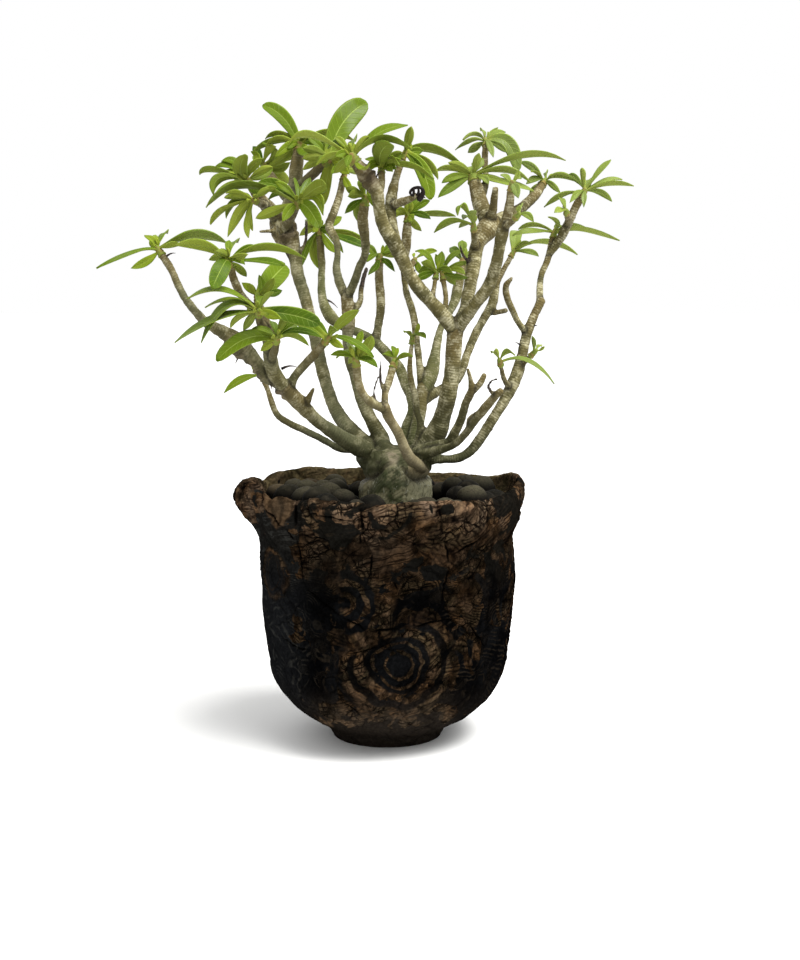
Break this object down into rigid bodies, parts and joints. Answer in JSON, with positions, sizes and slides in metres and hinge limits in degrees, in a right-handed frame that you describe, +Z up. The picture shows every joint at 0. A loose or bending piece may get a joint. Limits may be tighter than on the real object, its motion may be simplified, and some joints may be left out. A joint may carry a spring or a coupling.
{
  "type": "potted desert rose",
  "caption": "Small desert rose with a swollen caudex, many branches and leafy shoot tips, in a hand-built marbled clay pot topped with clay pebbles.",
  "frame": {"origin": "centre of the flat foot of the pot, on the surface that it stands on", "axes": "+Z up along the pot's axis; the pictured side faces -Y, and +X is to its right"},
  "size_m": [0.164, 0.1127, 0.2047],
  "materials": {
    "marbled_clay": "matt, burnished on the high spots",
    "growing_medium": "rough",
    "baked_clay": "matt and porous",
    "bark": "matt, ringed with leaf scars",
    "leaf": "waxy, softly glossy"
  },
  "bodies": {
    "root": {"caudex_and_branches": "bark", "clay_pebbles": "baked_clay", "leaf_rosette_01": "leaf", "leaf_rosette_02": "leaf", "leaf_rosette_03": "leaf", "leaf_rosette_04": "leaf", "leaf_rosette_05": "leaf", "leaf_rosette_06": "leaf", "leaf_rosette_07": "leaf", "leaf_rosette_08": "leaf", "leaf_rosette_09": "leaf", "leaf_rosette_10": "leaf", "leaf_rosette_11": "leaf", "leaf_rosette_12": "leaf", "leaf_rosette_13": "leaf", "leaf_rosette_14": "leaf", "leaf_rosette_15": "leaf", "leaf_rosette_16": "leaf", "leaf_rosette_17": "leaf", "leaf_rosette_18": "leaf", "leaf_rosette_19": "leaf", "leaf_rosette_20": "leaf", "leaf_rosette_21": "leaf", "leaf_rosette_22": "leaf", "leaf_rosette_23": "leaf", "leaf_rosette_24": "leaf", "leaf_rosette_25": "leaf", "leaf_rosette_26": "leaf", "leaf_rosette_27": "leaf", "leaf_rosette_28": "leaf", "leaf_rosette_29": "leaf", "leaf_rosette_30": "leaf", "leaf_rosette_31": "leaf", "leaf_rosette_32": "leaf", "leaf_rosette_33": "leaf", "leaf_rosette_34": "leaf", "leaf_rosette_35": "leaf", "leaf_rosette_36": "leaf", "leaf_rosette_37": "leaf", "leaf_rosette_38": "leaf", "leaf_rosette_39": "leaf", "leaf_rosette_40": "leaf", "pot": "marbled_clay", "substrate": "growing_medium"}
  },
  "joints": []
}
